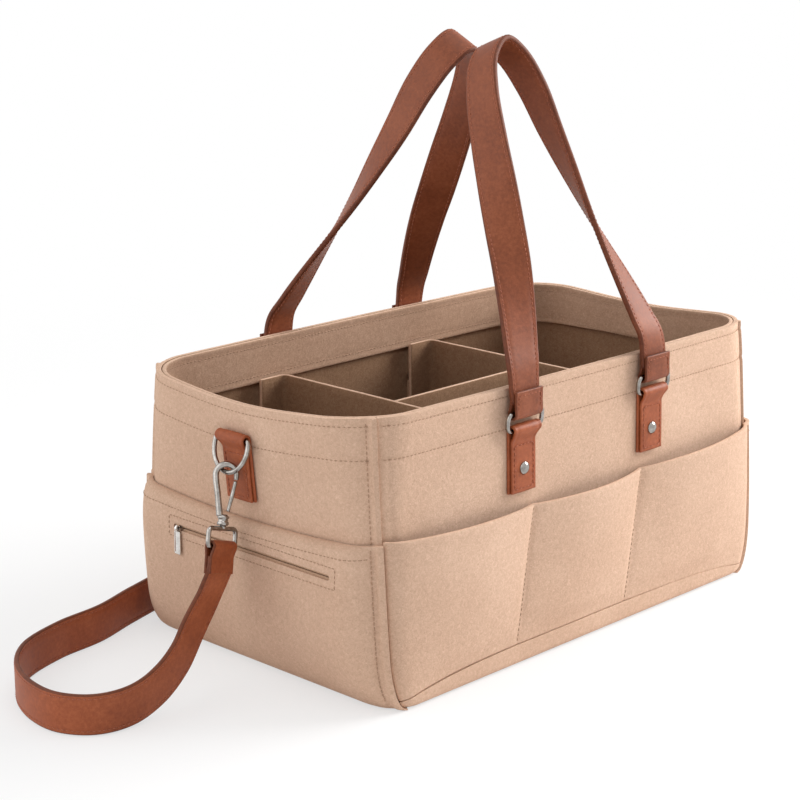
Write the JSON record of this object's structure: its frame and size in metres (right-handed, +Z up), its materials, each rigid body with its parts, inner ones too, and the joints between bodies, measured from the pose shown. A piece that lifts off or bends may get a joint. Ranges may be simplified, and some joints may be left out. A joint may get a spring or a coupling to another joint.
{
  "type": "diaper caddy",
  "caption": "Open felt caddy with outer pockets, a zipped end pocket, a lift-out divider insert, ring-hung leather handles and a clip-on shoulder strap",
  "frame": {"origin": "on the floor, under the middle of the caddy without its shoulder strap", "axes": "+X along the length, away from the zip end; +Y across, toward the back; +Z up"},
  "size_m": [0.5765, 0.2548, 0.3824],
  "materials": {
    "felt": "matte wool-like felt",
    "leather": "smooth, slightly glossy",
    "nickel": "polished nickel plate",
    "zip_tape": "woven tape",
    "zip_teeth": "moulded coil",
    "hook_tape": "hook tape",
    "board": "felt-covered board"
  },
  "bodies": {
    "caddy_body": {"front_panel": "felt", "back_panel": "felt", "left_end_panel": "felt", "right_end_panel": "felt", "front_pocket_panel": "felt", "back_pocket_panel": "felt", "left_zip_pocket_panel": "felt", "right_slip_pocket_panel": "felt", "bottom_panel": "felt", "rim_facing": "felt", "zip_tapes": "zip_tape", "zip_chain": "zip_teeth", "base_board": "board", "handle_tab_front_left": "leather", "tab_stud_front_left": "nickel", "stud_cap_front_left": "nickel", "handle_tab_front_right": "leather", "tab_stud_front_right": "nickel", "stud_cap_front_right": "nickel", "handle_tab_back_left": "leather", "tab_stud_back_left": "nickel", "stud_cap_back_left": "nickel", "handle_tab_back_right": "leather", "tab_stud_back_right": "nickel", "stud_cap_back_right": "nickel", "end_tab_left": "leather", "end_ring_left": "nickel", "snap_hook_left": "nickel", "swivel_eye_left": "nickel", "end_tab_right": "leather", "end_ring_right": "nickel", "snap_hook_right": "nickel", "swivel_eye_right": "nickel", "shoulder_strap": "leather"},
    "divider_insert": {"cross_divider_left": "felt", "cross_divider_right": "felt", "middle_divider": "felt", "hook_strip_front_left": "hook_tape", "hook_strip_front_right": "hook_tape", "hook_strip_back_left": "hook_tape", "hook_strip_back_right": "hook_tape"},
    "zip_slider": {"zip_slider": "nickel"},
    "zip_puller": {"zip_puller": "nickel"},
    "ring_front_left": {"handle_ring_front_left": "nickel"},
    "ring_front_right": {"handle_ring_front_right": "nickel"},
    "ring_back_left": {"handle_ring_back_left": "nickel"},
    "ring_back_right": {"handle_ring_back_right": "nickel"},
    "front_handle": {"front_handle": "leather"},
    "back_handle": {"back_handle": "leather"},
    "gate_left": {"snap_gate_left": "nickel"},
    "gate_right": {"snap_gate_right": "nickel"}
  },
  "joints": [
    {"name": "insert_lift", "type": "slide", "parent": "caddy_body", "child": "divider_insert", "axis": [0, 0, 1], "range_m": [0, 0.05]},
    {"name": "zip_run", "type": "slide", "parent": "caddy_body", "child": "zip_slider", "axis": [0, -1, 0], "range_m": [0, 0.129]},
    {"name": "puller_swing", "type": "hinge", "parent": "zip_slider", "child": "zip_puller", "pos_m": [-0.20182, 0.05464, 0.08304], "axis": [0, 1, 0], "range_deg": [0, 100]},
    {"name": "ring_swing_front_left", "type": "hinge", "parent": "caddy_body", "child": "ring_front_left", "pos_m": [-0.064, -0.11057, 0.15211], "axis": [1, 0, 0], "range_deg": [0, 60]},
    {"name": "ring_swing_front_right", "type": "hinge", "parent": "caddy_body", "child": "ring_front_right", "pos_m": [0.064, -0.11057, 0.15211], "axis": [1, 0, 0], "range_deg": [0, 60]},
    {"name": "front_handle_swing", "type": "hinge", "parent": "ring_front_left", "child": "front_handle", "pos_m": [-0.064, -0.11115, 0.16309], "axis": [1, 0, 0], "range_deg": [0, 80]},
    {"name": "ring_swing_back_left", "type": "hinge", "parent": "caddy_body", "child": "ring_back_left", "pos_m": [-0.064, 0.11057, 0.15211], "axis": [-1, 0, 0], "range_deg": [0, 60]},
    {"name": "ring_swing_back_right", "type": "hinge", "parent": "caddy_body", "child": "ring_back_right", "pos_m": [0.064, 0.11057, 0.15211], "axis": [-1, 0, 0], "range_deg": [0, 60]},
    {"name": "back_handle_swing", "type": "hinge", "parent": "ring_back_left", "child": "back_handle", "pos_m": [-0.064, 0.11115, 0.16309], "axis": [-1, 0, 0], "range_deg": [0, 80]},
    {"name": "gate_left_spring", "type": "hinge", "parent": "caddy_body", "child": "gate_left", "pos_m": [-0.21261, -0.00582, 0.10984], "axis": [-0.6472, -0.697, 0.3087], "range_deg": [0, 20], "stiffness_Nm_per_rad": 0.02, "springref_deg": -17.19},
    {"name": "gate_right_spring", "type": "hinge", "parent": "caddy_body", "child": "gate_right", "pos_m": [0.21261, 0.00582, 0.10984], "axis": [0.6472, 0.697, 0.3087], "range_deg": [0, 20], "stiffness_Nm_per_rad": 0.02, "springref_deg": -17.19}
  ],
  "couplings": [
    {"joint": "ring_swing_front_right", "follows": "ring_swing_front_left", "ratio": 1},
    {"joint": "ring_swing_back_right", "follows": "ring_swing_back_left", "ratio": 1}
  ]
}
